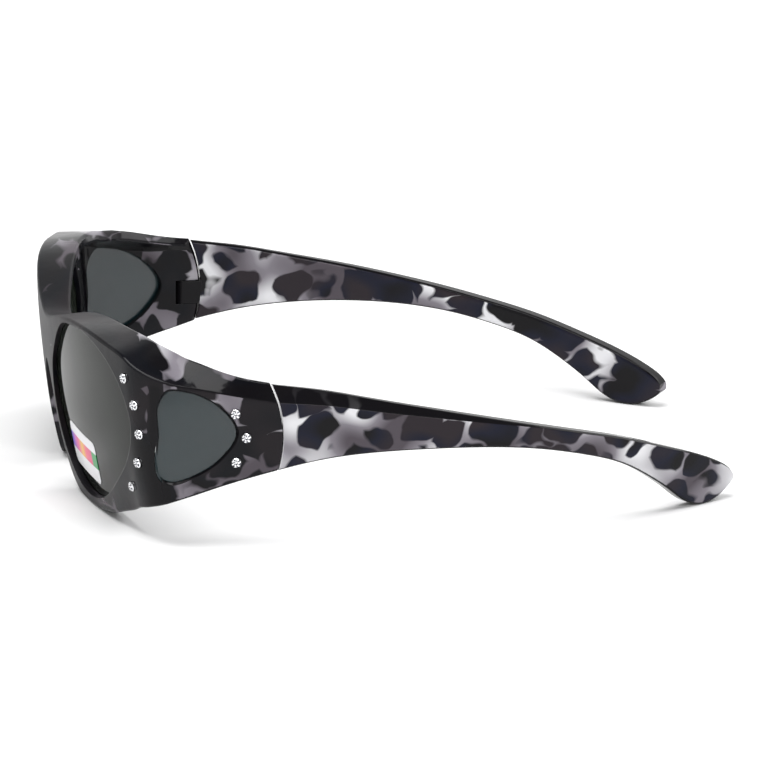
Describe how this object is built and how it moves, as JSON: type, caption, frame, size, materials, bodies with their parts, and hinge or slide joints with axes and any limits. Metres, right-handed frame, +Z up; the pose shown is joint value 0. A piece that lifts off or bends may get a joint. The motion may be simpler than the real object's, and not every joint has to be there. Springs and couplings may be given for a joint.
{
  "type": "fitover sunglasses",
  "caption": "Wraparound fitover sunglasses with dark main and side lenses, folding temples on pinned hinges and set stones, worn over other glasses.",
  "frame": {"origin": "on the table under the middle of the whole object's box", "axes": "+X towards the wearer's left, -Y the way the wearer looks, the temples run along +Y, +Z up"},
  "size_m": [0.1442, 0.1626, 0.048],
  "materials": {
    "frame": "polished moulded plastic, charcoal with grey-lilac veins",
    "temple": "polished moulded plastic, charcoal blotches over clear grey-lilac",
    "lens": "polished dark grey tint",
    "pin": "bright steel",
    "stone": "faceted, silvered behind",
    "label": "printed film with coloured bands"
  },
  "bodies": {
    "front": {"frame_front": "frame", "main_lens_left": "lens", "main_lens_right": "lens", "side_lens_left": "lens", "side_lens_right": "lens", "hinge_pin_left": "pin", "hinge_pin_right": "pin", "lens_sticker": "label", "rhinestone_left_1": "stone", "rhinestone_left_2": "stone", "rhinestone_left_3": "stone", "rhinestone_left_4": "stone", "rhinestone_left_5": "stone", "rhinestone_left_6": "stone", "rhinestone_left_7": "stone", "rhinestone_left_8": "stone", "rhinestone_right_1": "stone", "rhinestone_right_2": "stone", "rhinestone_right_3": "stone", "rhinestone_right_4": "stone", "rhinestone_right_5": "stone", "rhinestone_right_6": "stone", "rhinestone_right_7": "stone", "rhinestone_right_8": "stone"},
    "temple_left": {"temple_left": "temple"},
    "temple_right": {"temple_right": "temple"}
  },
  "joints": [
    {"name": "temple_left_hinge", "type": "hinge", "parent": "front", "child": "temple_left", "pos_m": [0.0686, -0.03812, 0.02647], "axis": [0, 0, 1], "range_deg": [0, 81]},
    {"name": "temple_right_hinge", "type": "hinge", "parent": "front", "child": "temple_right", "pos_m": [-0.0686, -0.03812, 0.02647], "axis": [0, 0, -1], "range_deg": [0, 73]}
  ]
}
